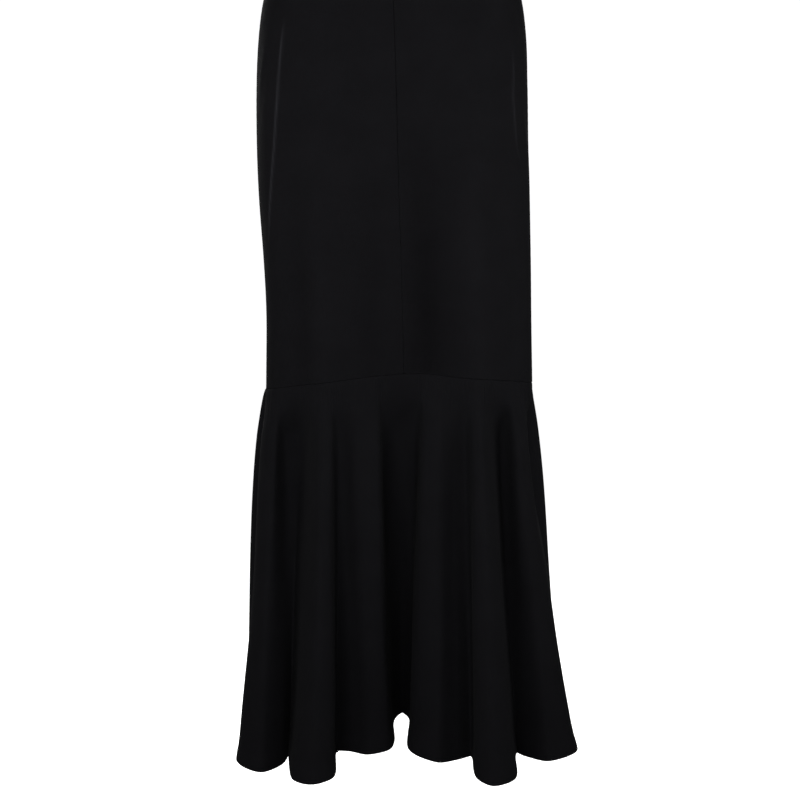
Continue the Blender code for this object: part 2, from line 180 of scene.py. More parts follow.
flounceFolds = {
    "flounce_front": np.array([
        # turn, hem x, hem y, hem height, growth
        (-90.0, -0.190, -0.018, -1.002, 1.06),
        (-79.0, -0.2125, -0.078, -1.004, 1.06),
        (-70.0, -0.182, -0.121, -1.004, 1.06),
        (-58.0, -0.156, -0.099, -1.003, 1.06),
        (-44.0, -0.148, -0.072, -0.997, 1.06),
        (-34.5, -0.139, -0.164, -0.996, 1.80),
        (-30.0, -0.115, -0.191, -0.993, 1.35),
        (-26.5, -0.090, -0.174, -0.991, 1.06),
        (-22.5, -0.089, -0.110, -0.984, 1.06),
        (-18.5, -0.070, -0.122, -0.979, 1.15),
        (-14.0, -0.047, -0.142, -0.976, 1.20),
        (-8.0, -0.021, -0.134, -0.972, 1.15),
        (-4.5, -0.016, -0.052, -0.966, 1.06),
        (0.8, -0.005, -0.034, -0.963, 1.06),
        (5.5, 0.006, -0.052, -0.966, 1.06),
        (10.0, 0.004, -0.136, -0.973, 1.06),
        (16.5, 0.036, -0.167, -0.978, 1.06),
        (20.5, 0.060, -0.151, -0.982, 1.06),
        (24.5, 0.080, -0.136, -0.984, 1.06),
        (28.5, 0.084, -0.193, -0.989, 1.06),
        (32.5, 0.102, -0.214, -0.991, 1.20),
        (35.5, 0.128, -0.185, -0.994, 1.30),
        (43.0, 0.135, -0.094, -0.996, 1.20),
        (50.0, 0.148, -0.101, -0.999, 1.08),
        (59.0, 0.176, -0.112, -1.002, 1.15),
        (73.0, 0.212, -0.076, -1.003, 1.60),
        (90.0, 0.188, -0.020, -1.002, 1.06),
    ]),
    "flounce_back": np.array([
        # turn, hem x, hem y, hem height, growth
        (90.0, 0.188, -0.020, -1.002, 1.06),
        (99.0, 0.199, 0.032, -1.002, 0.72),
        (110.0, 0.184, 0.090, -1.003, 0.85),
        (121.0, 0.142, 0.086, -1.005, 1.06),
        (129.0, 0.146, 0.150, -1.005, 1.06),
        (137.0, 0.120, 0.184, -1.004, 1.06),
        (146.0, 0.088, 0.166, -1.006, 1.06),
        (153.0, 0.070, 0.106, -1.009, 1.06),
        (160.0, 0.058, 0.156, -1.007, 1.06),
        (168.0, 0.034, 0.190, -1.006, 1.06),
        (175.0, 0.008, 0.174, -1.007, 1.06),
        (182.0, -0.010, 0.112, -1.010, 1.06),
        (189.0, -0.024, 0.166, -1.008, 1.06),
        (198.0, -0.052, 0.202, -1.006, 1.06),
        (206.0, -0.082, 0.178, -1.006, 1.06),
        (213.0, -0.088, 0.110, -1.008, 1.06),
        (221.0, -0.110, 0.154, -1.006, 1.06),
        (230.0, -0.138, 0.170, -1.004, 1.06),
        (240.0, -0.158, 0.136, -1.004, 1.06),
        (248.0, -0.152, 0.084, -1.004, 1.06),
        (256.0, -0.188, 0.086, -1.003, 0.75),
        (264.0, -0.207, 0.040, -1.002, 0.56),
        (270.0, -0.190, -0.018, -1.002, 1.06),
    ]),
}


def softStep(value):
    value = np.clip(value, 0.0, 1.0)
    return value * value * (3.0 - 2.0 * value)


def alongRows(rows, where, places):
    # smooth curve through the rows of a table, whose places along it rise
    places = np.asarray(places, float)
    last = len(where) - 1
    index = np.clip(np.searchsorted(where, places, "right") - 1, 0, last - 1)
    before, after = np.maximum(index - 1, 0), np.minimum(index + 2, last)
    span = where[index + 1] - where[index]
    part = np.clip((places - where[index]) / span, 0.0, 1.0)[..., None]
    low, high = rows[index], rows[index + 1]
    slopeLow = (high - rows[before]) / (where[index + 1] - where[before])[..., None]
    slopeHigh = (rows[after] - low) / (where[after] - where[index])[..., None]
    bend = part * (1 - part) ** 2 * slopeLow - part ** 2 * (1 - part) * slopeHigh
    blend = part * part * (3 - 2 * part)
    return low * (1 - blend) + high * blend + span[..., None] * bend


def signedPower(value, power):
    return np.sign(value) * np.abs(value) ** power


def turnApart(turn, other):
    return (turn - other + 180.0) % 360.0 - 180.0


def bodyPoint(height, turn):
    height, turn = np.broadcast_arrays(np.asarray(height, float), np.asarray(turn, float))
    rows = alongRows(body["sections"], -body["sections"][:, 0], -height)
    across, along = np.sin(np.radians(turn)), np.cos(np.radians(turn))
    power = 2.0 / rows[..., 5]
    side = np.where(across > 0, rows[..., 2], rows[..., 1])
    end = np.where(along > 0, rows[..., 3], rows[..., 4])
    out = np.zeros(height.shape)
    for drapeTurn, width, top, bottom, rise in body["drapes"]:
        fade = softStep((top - height) / 0.10) * softStep((height - bottom) / 0.04)
        out += rise * np.exp(-(turnApart(turn, drapeTurn) / width) ** 2) * fade
    x = signedPower(across, power) * side
    y = -signedPower(along, power) * end
    return np.stack((x + across * out, y - along * out, height), -1)


def seamHeight(turn):
    turn = np.asarray(turn, float)
    fromBack = np.abs(turn % 360.0 - 180.0)
    back = body["seamBack"] + (body["seamSide"] - body["seamBack"]) * softStep(fromBack / 90.0)
    peak, rounding = body["seamTurns"][1], body["peakRound"]
    drop = np.hypot(turn - peak, rounding) - rounding
    fullDrop = np.hypot(np.where(turn < 0, -90.0, 90.0) - peak, rounding) - rounding
    front = body["seamFront"] + (body["seamSide"] - body["seamFront"]) * drop / fullDrop
    return np.where(np.abs(turn) <= 90.0, front, back)


perDegree = 0.160 * math.radians(1.0)  # metres round the body to a degree of turn


def pressedShare(height, turn, heights, turns, width):
    apart = turnApart(turn, np.interp(-height, -np.array(heights), turns)) * perDegree
    fade = softStep((heights[0] - height) / 0.04) * softStep((height - heights[-1]) / 0.07)
    return np.exp(-(apart / width) ** 2) * fade


def paintedLightAndShade(height, turn):
    # painted highlight on the pressed lines and painted light and shade on the drapes: how much lighter the
    # cloth's colour is made than its usual black, or darker below 0
    height, turn = np.broadcast_arrays(height, turn)
    shade = np.zeros(height.shape)
    for heights, turns, width, _, paintedHighlight in pressedLines:
        shade += paintedHighlight * pressedShare(height, turn, heights, turns, 0.6 * width)
    for shadeTurn, shadeHeight, width, length, share in paintedDrapeShades:
        apart = turnApart(turn, shadeTurn) * perDegree
        shade += share * np.exp(-(apart / width) ** 2 - ((height - shadeHeight) / (0.5 * length)) ** 2)
    return shade


clothRelief = {
    "wander": 0.00035,       # slow unevenness all over
    "ripple": 0.00022,
    "pucker": 0.00013,       # beside the upright seams, and how far from them
    "puckerWidth": 0.008,
    "drawIn": 0.00045,       # by the stitches, at the upright seams
    "drawInWidth": 0.006,
    "knee": 0.00024,         # puckers above the flounce seam
    "kneeHeight": 0.010,
}


def bodyRelief(height, turn):
    # creases, pressed lines and puckers of the worn cloth, outward from the fitted form
    out = np.zeros(height.shape)
    for creaseTurn, creaseHeight, tilt, length, width, depth in wornCreases:
        apart = turnApart(turn, creaseTurn) * perDegree
        rise, lean = height - creaseHeight, math.radians(tilt)
        along = apart * math.sin(lean) + rise * math.cos(lean)
        cross = apart * math.cos(lean) - rise * math.sin(lean) + 0.004 * np.sin(along / length * 3.0)
        shape = np.exp(-(cross / width) ** 2) - 0.6 * np.exp(-((cross - 1.5 * width) / width) ** 2)
        out += depth * shape * np.exp(-(along / (0.5 * length)) ** 2)
    for heights, turns, width, rise, _ in pressedLines:
        out += rise * pressedShare(height, turn, heights, turns, width)
    angle = np.radians(turn)
    wander = np.sin(3 * angle + 9.0 * height + 0.6) * np.sin(21.0 * height + 2.0 * angle)
    out += clothRelief["wander"] * wander
    out += clothRelief["ripple"] * np.sin(7 * angle - 31.0 * height + 1.9)
    # stitches draw the upright seams in a little and pucker the cloth beside them
    for phase, seamTurn in enumerate(body["seamTurns"][:-1]):
        away = np.abs(turnApart(turn, seamTurn)) * perDegree
        pucker = np.sin(-height * 520.0 + phase + 2.4 * np.sin(-height * 61.0))
        out += clothRelief["pucker"] * pucker * np.exp(-away / clothRelief["puckerWidth"])
        out -= clothRelief["drawIn"] * np.exp(-(away / clothRelief["drawInWidth"]) ** 2)
    pucker = np.sin(np.sin(angle) * 92.0 + 1.7 * np.sin(np.sin(angle) * 14.0))
    out += clothRelief["knee"] * pucker * np.exp(-(height - seamHeight(turn)) / clothRelief["kneeHeight"])
    return out * softStep(-(height + body["bandDepth"]) / 0.02)


def unit(vectors):
    return vectors / np.maximum(np.linalg.norm(vectors, axis=-1, keepdims=True), 1e-12)


def gridNormals(points):
    return unit(np.cross(np.gradient(points, axis=0), np.gradient(points, axis=1)))


def bodyGrid(heights, turns):
    height, turn = np.broadcast_arrays(heights, turns)
    points = bodyPoint(height, turn)
    return points + gridNormals(points) * bodyRelief(height, turn)[..., None]


def arcLength(line):
    return np.concatenate(([0.0], np.cumsum(np.linalg.norm(np.diff(line, axis=0), axis=1))))


def evenly(length, step):
    return np.linspace(0.0, length, int(round(length / step)) + 1)


def foldRadius():
    return crepeCloth["wall"] + crepeCloth["layerGap"] / 2


def drawnBack(grid, sides, distance):
    # the chosen edges drawn back from their seam lines, along the cloth
    grid = grid.copy()
    for side, edge, inner in (("l", np.s_[:, 0], np.s_[:, 1]), ("r", np.s_[:, -1], np.s_[:, -2]),
                              ("t", np.s_[0], np.s_[1]), ("b", np.s_[-1], np.s_[-2])):
        if side in sides:
            grid[edge] = grid[edge] + unit(grid[inner] - grid[edge]) * distance
    return grid


turnedSides = {
    # side: the grid with that edge as its last row, and back again
    "b": (lambda grid: grid,) * 2,
    "t": (lambda grid: grid[::-1],) * 2,
    "r": (lambda grid: grid.transpose(1, 0, 2),) * 2,
    "l": (lambda grid: grid.transpose(1, 0, 2)[::-1], lambda grid: grid[::-1].transpose(1, 0, 2)),
}


def turnedEdge(grid, side, depth, radius, mitred=True, seamOut=None):
    # the cloth past an edge, folded to the inside and pressed flat
    asRows, asGrid = turnedSides[side]
    lines, outs = asRows(grid), asRows(gridNormals(grid))
    if seamOut is not None:
        outs[-1] = seamOut
    edge, out = lines[-1], outs[-1]
    onward = unit(edge - lines[-2])
    onward = unit(onward - out * (onward * out).sum(-1, keepdims=True))
    rows = [edge]
    for angle in np.radians((30, 60, 90, 120, 150, 180)):
        rows.append(edge + radius * ((math.cos(angle) - 1.0) * out + math.sin(angle) * onward))
    along = arcLength(edge)
    depths = np.full(len(along), depth)
    if mitred:
        depths = np.clip(np.minimum(along, along[-1] - along) - 0.0008, 0.0005, depth)
    lines, outs = lines[::-1], outs[::-1]
    steps = np.linalg.norm(np.diff(lines, axis=0), axis=-1)
    far = np.concatenate((np.zeros((1, len(along))), steps.cumsum(0)))
    column = np.arange(len(along))
    for share in np.linspace(0.0, 1.0, max(int(depth / 0.004), 3) + 1)[1:]:
        index = np.clip((far < share * depths).sum(0), 1, len(far) - 1)
        part = (share * depths - far[index - 1, column]) / (far[index, column] - far[index - 1, column])
        part = part[:, None]
        under = outs[index - 1, column] * (1 - part) + outs[index, column] * part
        over = lines[index - 1, column] * (1 - part) + lines[index, column] * part
        rows.append(over - under * 2 * radius)
    rows = np.array(rows)
    # the free edge, the way back to the fold along it, and where it is deep enough to be neatened
    freeEdge = {"line": rows[-1], "back": unit(rows[-2] - rows[-1]), "face": -under, "deep": depths > 0.005}
    return asGrid(rows), freeEdge


def inScene(name, data):
    item = bpy.data.objects.new(name, data)
    bpy.context.scene.collection.objects.link(item)
    return item


def clothMesh(name, grids, wall, shade=None):
    # each grid's rows run down and its columns turn leftward, so its faces point out;
    # the shade, a painted highlight and painted shade for the colour, is the first grid's, and turned-in
    # cloth has none
    points, faces, start = [], [], 0
    for grid in grids:
        rows, columns = grid.shape[:2]
        points.append(grid.reshape(-1, 3))
        corner = np.arange(rows - 1)[:, None] * columns + np.arange(columns - 1)[None, :]
        corner = corner.ravel() + start
        faces.append(np.stack((corner, corner + columns, corner + columns + 1, corner + 1), -1))
        start += rows * columns
    mesh = bpy.data.meshes.new(name)
    mesh.from_pydata(np.concatenate(points).tolist(), [], np.concatenate(faces).tolist())
    # painted highlight and painted shade, kept on the points so the finish can lighten or darken the colour
    if shade is not None:
        paintedLight = np.zeros(start, np.float32)
        paintedLight[:shade.size] = shade.ravel()
        mesh.attributes.new("paintedLight", "FLOAT", "POINT").data.foreach_set("value", paintedLight)
    sewn = bmesh.new()
    sewn.from_mesh(mesh)
    bmesh.ops.remove_doubles(sewn, verts=sewn.verts, dist=1e-6)
    sewn.to_mesh(mesh)
    sewn.free()
    mesh.shade_smooth()
    piece = inScene(name, mesh)
    thickness = piece.modifiers.new("wall", "SOLIDIFY")
    thickness.thickness = wall
    thickness.offset = -1.0
    return piece


overlockedEdges, hemEdges, seamLines = [], [], []
clothPieces, cutSizes = {}, {}


def sewnPiece(node, name, net, turnIns, seamOuts, shade=None):
    # a piece of crepe whose grid runs from seam line to seam line, with its edges turned in;
    # seamOuts says which way is out at a seam whose other piece lies at another slope
    radius = foldRadius()
    cloth = drawnBack(net, turnIns, radius + crepeCloth["slit"])
    grids = [cloth]
    for side, depth in turnIns.items():
        strip, freeEdge = turnedEdge(cloth, side, depth, radius, seamOut=seamOuts.get(side))
        grids.append(strip)
        (hemEdges if depth == crepeCloth["hemTurn"] else overlockedEdges).append(freeEdge)
    clothPieces[node] = clothMesh(name, grids, crepeCloth["wall"], shade)


def addSeamLine(line, outward):
    seamLines.append(line - outward * crepeCloth["stitchDepth"])


def bodyPanel(place):
    start, end = body["seamTurns"][place:place + 2]
    finer = np.linspace(start, end, 400)
    middle = arcLength(bodyPoint(-0.30, finer))
    turns = np.interp(evenly(middle[-1], crepeCloth["panelStep"]), middle, finer)[None, :]
    top = -body["bandDepth"]
    part = evenly(1.0, crepeCloth["panelStep"] / (top - body["seamSide"]))
    heights = top + (seamHeight(turns) - top) * part[:, None]
    # the panel's points, and the painted highlight and painted shade on them
    return bodyGrid(heights, turns), paintedLightAndShade(heights, turns)


def flounceGrid(folds):
    where = arcLength(folds[:, 1:4])
    along = evenly(where[-1], crepeCloth["flounceStep"])
    line = alongRows(folds, where, along)
    turn, hem, growth = line[:, 0], line[:, 1:4], line[:, 4]
    top = bodyPoint(seamHeight(turn), turn)
    # three rows across the seam line, as the panels above have it
    above = bodyGrid(seamHeight(turn) + np.array([[0.001], [0.0], [-0.001]]), turn[None, :])
    part = evenly(1.0, crepeCloth["flounceStep"] / flounceDrape["fall"])[:, None]
    spread = part ** growth[None, :]
    settled = softStep(part / flounceDrape["bulgeStart"])
    depth = part ** flounceDrape["depthGrowth"] + flounceDrape["foldBulge"] * part * (1 - part) * settled
    points = np.empty((len(part), len(along), 3))
    for axis, share in enumerate((spread, depth, part)):
        points[..., axis] = top[:, axis] + (hem[:, axis] - top[:, axis]) * share
    # the creases of the panels above run out below the seam
    points += (above[1] - top) * softStep(1 - part / flounceDrape["creaseEnd"])[..., None]
    for middle, width, x, y, deepest in flounceDrape["tucks"]:
        share = part / deepest * ((1 - part) / (1 - deepest)) ** (1 / deepest - 1) * settled
        share = share * np.exp(-(turnApart(turn, middle) / width) ** 4)
        points[..., 0] += x * share
        points[..., 1] += y * share
    along = along[None, :]
    sway = np.sin(along * 27.0 + part * 5.0) * np.sin(part * math.pi)
    sway = sway + 0.55 * np.sin(along * 61.0 - part * 11.0 + 0.7) * part
    pucker = np.sin(along * 330.0 + 2.0 * np.sin(along * 23.0)) * part * np.exp(-part * 40.0)
    swing = flounceDrape["hemSwing"] * softStep((part - 0.90) / 0.10) ** 2
    fromHemEdge = (1 - part) * flounceDrape["fall"] - crepeCloth["hemTurn"]
    dent = flounceDrape["hemDent"] * np.exp(-(fromHemEdge / 0.003) ** 2)
    out = flounceDrape["sway"] * sway + flounceDrape["pucker"] * pucker + swing - dent
    out = out * softStep(np.minimum(along, along[0, -1] - along) / flounceDrape["sideHold"])
    first, last = (np.array([math.sin(end), -math.cos(end), 0.0]) for end in np.radians(turn[[0, -1]]))
    seamOuts = {"t": gridNormals(above)[1], "l": first, "r": last}
    return points + gridNormals(points) * out[..., None], seamOuts


bandFold = {"radius": 0.0017, "facing": 0.0285, "turnIn": 0.009, "crown": 0.00035, "step": 0.0024}


def bandPiece():
    # one strip folded at the waist: its outside, the fold, and its facing inside
    finer = np.linspace(-180.0, 180.0, 900)
    middle = arcLength(bodyPoint(-body["bandDepth"] / 2, finer))
    along = evenly(middle[-1], crepeCloth["panelStep"])
    turns = np.interp(along, middle, finer)
    part = evenly(1.0, bandFold["step"] / body["bandDepth"])[:, None]
    height = -bandFold["radius"] - part * (body["bandDepth"] - bandFold["radius"])
    net = bodyPoint(height, turns[None, :])
    crown = bandFold["crown"] * np.sin(np.pi * part) ** 0.5
    ripple = 0.00012 * np.sin(along * 190.0 + 1.3 * np.sin(along * 31.0))[None, :]
    net = net + gridNormals(net) * (crown + ripple)[..., None]
    cloth = drawnBack(net, "b", foldRadius() + crepeCloth["slit"])
    cloth = drawnBack(cloth, "lr", crepeCloth["slit"])
    facing, facingEdge = turnedEdge(cloth, "t", bandFold["facing"], bandFold["radius"], mitred=False)
    turnedIn, _ = turnedEdge(cloth, "b", bandFold["turnIn"], foldRadius())
    overlockedEdges.append(facingEdge)
    addSeamLine(net[-1], gridNormals(net)[-1])
    clothPieces["waistband"] = clothMesh("foldedWaistband", [cloth, facing, turnedIn], crepeCloth["wall"])
    depth = 2 * body["bandDepth"] + bandFold["turnIn"]
    cutSizes["waistband"] = (middle[-1], depth, middle[-1] * depth)


def sectorCut(topLength, bottomLength, depth):
    # the flat cut of a piece whose lower edge is the longer: a sector of a ring
    angle = (bottomLength - topLength) / depth
    inner = topLength / angle
    outer = inner + depth
    width = 2 * outer * math.sin(min(angle / 2, math.pi / 2))
    return width, outer - inner * math.cos(angle / 2), angle / 2 * (outer ** 2 - inner ** 2)


def gridArea(grid):
    return np.linalg.norm(np.cross(np.diff(grid, axis=0)[:, :-1], np.diff(grid, axis=1)[:-1]), axis=-1).sum()


allowance = crepeCloth["allowance"]
panelNames = {"front_right": "frontRightPanel", "front_left": "frontLeftPanel",
              "back_left": "backLeftPanel", "back_right": "backRightPanel"}
for place, (node, name) in enumerate(panelNames.items()):
    net, shade = bodyPanel(place)
    outward = gridNormals(net)
    sewnPiece(node, name, net, dict.fromkeys("tblr", allowance), {}, shade)
    addSeamLine(net[:, -1], outward[:, -1])
    addSeamLine(net[-1], outward[-1])
    width = max(arcLength(row)[-1] for row in net[::20]) + 2 * allowance
    length = arcLength(net[:, len(net[0]) // 2])[-1] + 2 * allowance
    outline = arcLength(net[0])[-1] + arcLength(net[-1])[-1] + 2 * length
    cutSizes[node] = (width, length, min(gridArea(net) + outline * allowance, width * length))
for node, name in (("flounce_front", "frontFlounce"), ("flounce_back", "backFlounce")):
    net, seamOuts = flounceGrid(flounceFolds[node])
    sewnPiece(node, name, net, dict.fromkeys("tblr", allowance) | {"b": crepeCloth["hemTurn"]}, seamOuts)
    addSeamLine(net[:, -1], seamOuts["r"])
    drop = arcLength(net[:, len(net[0]) // 3])[-1]
    cutSizes[node] = sectorCut(arcLength(net[0])[-1] + 2 * allowance, arcLength(net[-1])[-1] + 2 * allowance,
                               drop + allowance + crepeCloth["hemTurn"])
bandPiece()
print("cloth made:", sum(len(p.data.polygons) for p in clothPieces.values()), "faces before their walls")


def floatSocket(group, label, default):
    group.interface.new_socket(label, in_out="INPUT", socket_type="NodeSocketFloat").default_value = default


def socketId(group, label):
    return next(s.identifier for s in group.interface.items_tree if s.name == label and s.in_out == "INPUT")


def addNode(tree, kind, **values):
    # its values go to inputs by name, or by number as in _1
    node = tree.nodes.new(kind)
    for label, value in values.items():
        if label == "operation":
            node.operation = value
        else:
            node.inputs[int(label[1:]) if label[0] == "_" else label.replace("_", " ")].default_value = value
    return node


def linkAll(tree, pairs):
    for start, end in pairs:
        tree.links.new(start, end)


def startTree(name, sizes):
    group = bpy.data.node_groups.new(name, "GeometryNodeTree")
    group.interface.new_socket("Geometry", in_out="INPUT", socket_type="NodeSocketGeometry")
    for label, default in sizes.items():
        floatSocket(group, label, default)
    group.interface.new_socket("Seed", in_out="INPUT", socket_type="NodeSocketInt").default_value = 4
    group.interface.new_socket("Finish", in_out="INPUT", socket_type="NodeSocketMaterial")
    group.interface.new_socket("Geometry", in_out="OUTPUT", socket_type="NodeSocketGeometry")
    given = addNode(group, "NodeGroupInput").outputs
    toCurve = addNode(group, "GeometryNodeMeshToCurve")
    resample = addNode(group, "GeometryNodeResampleCurve")
    resample.mode = "LENGTH"
    linkAll(group, (
        (given["Geometry"], toCurve.inputs["Mesh"]), (toCurve.outputs["Curve"], resample.inputs["Curve"]),
        (given["Pitch"], resample.inputs["Length"]),
    ))
    return group, given, resample.outputs["Curve"]


def endTree(group, given, geometry):
    realize = addNode(group, "GeometryNodeRealizeInstances")
    smooth = addNode(group, "GeometryNodeSetShadeSmooth")
    paint = addNode(group, "GeometryNodeSetMaterial")
    result = addNode(group, "NodeGroupOutput")
    linkAll(group, (
        (geometry, smooth.inputs["Geometry"]), (smooth.outputs["Geometry"], realize.inputs["Geometry"]),
        (realize.outputs["Geometry"], paint.inputs["Geometry"]), (given["Finish"], paint.inputs["Material"]),
        (paint.outputs["Geometry"], result.inputs["Geometry"]),
    ))
    return group


def unevenness(group, given, amount):
    random = addNode(group, "FunctionNodeRandomValue")
    random.data_type = "FLOAT_VECTOR"
    random.inputs["Min"].default_value = (-amount,) * 3
    random.inputs["Max"].default_value = (amount,) * 3
    group.links.new(given["Seed"], random.inputs["Seed"])
    return random.outputs["Value"]


def zigzagTree():
    # one thread that swings between a guide line and a width to its side
    sizes = {"Pitch": 0.002, "Width": 0.003, "Thread Radius": 0.0002}
    group, given, curve = startTree("threadZigzag", sizes)
    index = addNode(group, "GeometryNodeInputIndex")
    odd = addNode(group, "ShaderNodeMath", operation="MODULO", _1=2.0)
    reach = addNode(group, "ShaderNodeMath", operation="MULTIPLY")
    side = addNode(group, "GeometryNodeInputNamedAttribute", Name="sideways")
    side.data_type = "FLOAT_VECTOR"
    swing = addNode(group, "ShaderNodeVectorMath", operation="SCALE")
    loose = addNode(group, "ShaderNodeVectorMath", operation="ADD")
    place = addNode(group, "GeometryNodeSetPosition")
    profile = addNode(group, "GeometryNodeCurvePrimitiveCircle", Resolution=5)
    sweep = addNode(group, "GeometryNodeCurveToMesh", Fill_Caps=True)
    linkAll(group, (
        (index.outputs["Index"], odd.inputs[0]), (odd.outputs[0], reach.inputs[0]),
        (given["Width"], reach.inputs[1]), (side.outputs["Attribute"], swing.inputs[0]),
        (reach.outputs[0], swing.inputs["Scale"]), (swing.outputs[0], loose.inputs[0]),
        (unevenness(group, given, 0.00012), loose.inputs[1]), (curve, place.inputs["Geometry"]),
        (loose.outputs[0], place.inputs["Offset"]), (place.outputs["Geometry"], sweep.inputs["Curve"]),
        (given["Thread Radius"], profile.inputs["Radius"]),
        (profile.outputs["Curve"], sweep.inputs["Profile Curve"]),
    ))
    return endTree(group, given, sweep.outputs["Mesh"])


def laidAlong(group, curve, mesh, direction):
    # a copy of the mesh at each of the curve's points, with its z axis in the direction
    align = addNode(group, "FunctionNodeAlignRotationToVector")
    align.axis = "Z"
    lay = addNode(group, "GeometryNodeInstanceOnPoints")
    linkAll(group, (
        (direction, align.inputs["Vector"]), (curve, lay.inputs["Points"]),
        (mesh, lay.inputs["Instance"]), (align.outputs["Rotation"], lay.inputs["Rotation"]),
    ))
    return lay.outputs["Instances"]


def stitchTree():
    # short threads laid one after another along a guide line
    sizes = {"Pitch": 0.0025, "Length": 0.002, "Thread Radius": 0.0002}
    group, given, curve = startTree("stitchRow", sizes)
    thread = addNode(group, "GeometryNodeMeshCylinder", Vertices=5, Side_Segments=1)
    tangent = addNode(group, "GeometryNodeInputTangent")
    loose = addNode(group, "ShaderNodeVectorMath", operation="ADD")
    linkAll(group, (
        (given["Length"], thread.inputs["Depth"]), (given["Thread Radius"], thread.inputs["Radius"]),
        (tangent.outputs[0], loose.inputs[0]), (unevenness(group, given, 0.06), loose.inputs[1]),
    ))
    return endTree(group, given, laidAlong(group, curve, thread.outputs["Mesh"], loose.outputs[0]))


def coilTree():
    # flattened loops of wire, one at each pitch along a guide line
    sizes = {"Pitch": 0.0012, "Loop Radius": 0.0016, "Wire Radius": 0.0003}
    group, given, curve = startTree("coilLoops", sizes)
    loop = addNode(group, "GeometryNodeCurvePrimitiveCircle", Resolution=12)
    profile = addNode(group, "GeometryNodeCurvePrimitiveCircle", Resolution=5)
    wire = addNode(group, "GeometryNodeCurveToMesh")
    flatten = addNode(group, "GeometryNodeTransform", Scale=(1.0, 0.42, 1.0))
    tangent = addNode(group, "GeometryNodeInputTangent")
    linkAll(group, (
        (given["Loop Radius"], loop.inputs["Radius"]), (given["Wire Radius"], profile.inputs["Radius"]),
        (loop.outputs["Curve"], flatten.inputs["Geometry"]),
        (flatten.outputs["Geometry"], wire.inputs["Curve"]),
        (profile.outputs["Curve"], wire.inputs["Profile Curve"]),
    ))
    return endTree(group, given, laidAlong(group, curve, wire.outputs["Mesh"], tangent.outputs[0]))


def alongGuides(name, tree, lines, sideways, values, finish):
    # runs a tree on guide lines and keeps its result as a plain mesh
    points = np.concatenate(lines)
    ends = np.cumsum([len(line) for line in lines])
    edges = [(i, i + 1) for i in range(len(points) - 1) if i + 1 not in ends]
    guide = bpy.data.meshes.new(name + "Guide")
    guide.from_pydata(points.tolist(), edges, [])
    attribute = guide.attributes.new("sideways", "FLOAT_VECTOR", "POINT")
    attribute.data.foreach_set("vector", np.concatenate(sideways).astype(np.float32).ravel())
    holder = inScene(name + "Guide", guide)
    rows = holder.modifiers.new("rows", "NODES")
    rows.node_group = tree
    for label, value in values.items():
        rows[socketId(tree, label)] = value
    rows[socketId(tree, "Finish")] = finish
    graph = bpy.context.evaluated_depsgraph_get()
    mesh = bpy.data.meshes.new_from_object(holder.evaluated_get(graph))
    mesh.name = name
    bpy.data.objects.remove(holder, do_unlink=True)
    return inScene(name, mesh)


def patternGroup(name, scales):
    # the start of a pattern, whose height and shade are worked out from where the cloth is
    group = bpy.data.node_groups.new(name, "ShaderNodeTree")
    for label, default in (scales | {"Shade Low": 0.8, "Shade High": 1.2}).items():
        floatSocket(group, label, default)
    for label in ("Height", "Shade"):
        group.interface.new_socket(label, in_out="OUTPUT", socket_type="NodeSocketFloat")
    given, result = addNode(group, "NodeGroupInput").outputs, addNode(group, "NodeGroupOutput").inputs
    return group, given, result, addNode(group, "ShaderNodeTexCoord").outputs["Object"]


def grainGroup():
    # pebbled yarn crossings: a fine height, and a shade that also drifts over a hand's breadth
    group, given, result, place = patternGroup("clothGrain", {"Scale": 1500.0})
    pebble = addNode(group, "ShaderNodeTexVoronoi")
    pebble.feature = "SMOOTH_F1"
    pebble.inputs["Smoothness"].default_value = 0.7
    twist = addNode(group, "ShaderNodeTexNoise", Detail=3.0, Roughness=0.65)
    drift = addNode(group, "ShaderNodeTexNoise", Scale=26.0, Detail=4.0)
    half = addNode(group, "ShaderNodeMath", operation="MULTIPLY", _1=0.45)
    height = addNode(group, "ShaderNodeMath", operation="ADD")
    mix = addNode(group, "ShaderNodeMath", operation="MULTIPLY_ADD", _1=0.35)
    shade = addNode(group, "ShaderNodeMapRange", From_Min=0.25, From_Max=1.05)
    linkAll(group, [(place, texture.inputs["Vector"]) for texture in (pebble, twist, drift)])
    linkAll(group, (
        (given["Scale"], pebble.inputs["Scale"]), (given["Scale"], half.inputs[0]),
        (half.outputs[0], twist.inputs["Scale"]), (pebble.outputs["Distance"], height.inputs[0]),
        (twist.outputs["Fac"], height.inputs[1]), (height.outputs[0], result["Height"]),
        (height.outputs[0], mix.inputs[0]), (drift.outputs["Fac"], mix.inputs[2]),
        (mix.outputs[0], shade.inputs["Value"]), (given["Shade Low"], shade.inputs["To Min"]),
        (given["Shade High"], shade.inputs["To Max"]), (shade.outputs["Result"], result["Shade"]),
    ))
    return group


def ribGroup():
    # a flat tape's herringbone: fine upright ribs crossed by slanting yarns
    group, given, result, place = patternGroup("tapeRibs", {"Rib Scale": 900.0, "Slant Scale": 650.0})
    ribs = addNode(group, "ShaderNodeTexWave", Distortion=0.6)
    ribs.bands_direction = "X"
    slant = addNode(group, "ShaderNodeTexWave", Distortion=0.8)
    slant.bands_direction = "DIAGONAL"
    height = addNode(group, "ShaderNodeMath", operation="MULTIPLY")
    shade = addNode(group, "ShaderNodeMapRange")
    linkAll(group, [(place, texture.inputs["Vector"]) for texture in (ribs, slant)])
    linkAll(group, (
        (given["Rib Scale"], ribs.inputs["Scale"]), (given["Slant Scale"], slant.inputs["Scale"]),
        (ribs.outputs["Fac"], height.inputs[0]), (slant.outputs["Fac"], height.inputs[1]),
        (height.outputs[0], result["Height"]), (height.outputs[0], shade.inputs["Value"]),
        (given["Shade Low"], shade.inputs["To Min"]), (given["Shade High"], shade.inputs["To Max"]),
        (shade.outputs["Result"], result["Shade"]),
    ))
    return group


clothGrain, tapeRibs = grainGroup(), ribGroup()


